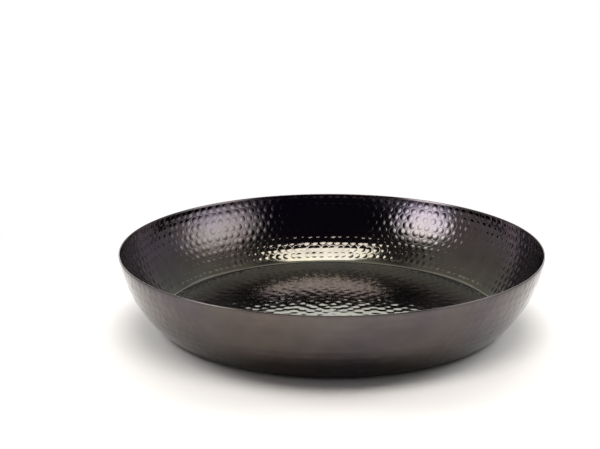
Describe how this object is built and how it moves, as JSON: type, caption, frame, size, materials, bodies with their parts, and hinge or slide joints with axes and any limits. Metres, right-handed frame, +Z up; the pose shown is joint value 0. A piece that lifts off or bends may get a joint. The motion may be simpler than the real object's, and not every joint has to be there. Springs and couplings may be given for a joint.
{
  "type": "bowl",
  "caption": "Wide, shallow hammered copper bowl with a flared wall, a flat floor and a plain thin rim, on small round pads.",
  "frame": {"origin": "on the bowl's axis, in the plane that the pads stand on", "axes": "+Z up along the bowl's axis; the bowl is round, so +X and +Y only place the pads, at 45 degrees to both"},
  "size_m": [0.36, 0.36, 0.0627],
  "materials": {
    "dark_hammered_copper": null,
    "pad_rubber": "moulded, matt"
  },
  "bodies": {
    "root": {"bowl_shell": "dark_hammered_copper", "pad_back_right": "pad_rubber", "pad_back_left": "pad_rubber", "pad_front_left": "pad_rubber", "pad_front_right": "pad_rubber"}
  },
  "joints": []
}
